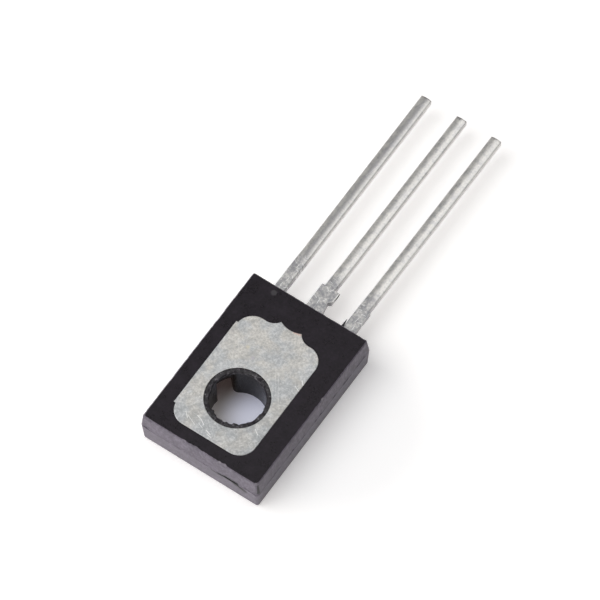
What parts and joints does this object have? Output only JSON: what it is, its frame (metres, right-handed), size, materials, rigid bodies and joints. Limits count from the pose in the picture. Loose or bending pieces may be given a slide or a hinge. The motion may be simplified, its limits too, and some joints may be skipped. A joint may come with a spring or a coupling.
{
  "type": "to-126 power transistor",
  "caption": "Flat black moulded power transistor with a bare metal heat-sink pad, a screw hole through pad and body, and straight tinned leads in one row.",
  "frame": {"origin": "axis of the screw hole, in the plane of the plastic front face that the part lies on", "axes": "+X across the body along the row of leads, towards the base lead; +Y along the leads towards their tips; +Z out of the metal pad"},
  "size_m": [0.0078, 0.0257, 0.0025],
  "materials": {
    "black_epoxy": "black moulded epoxy, satin, glossier in the hole",
    "tinned_copper": "dull tin plate on copper, mottled and scratched",
    "silicon": "polished silicon",
    "solder": "dull solder",
    "bond_wire": "drawn aluminium wire"
  },
  "bodies": {
    "root": {"molded_body": "black_epoxy", "collector_frame": "tinned_copper", "emitter_lead": "tinned_copper", "base_lead": "tinned_copper", "silicon_die": "silicon", "die_solder": "solder", "emitter_wire": "bond_wire", "base_wire": "bond_wire"}
  },
  "joints": []
}
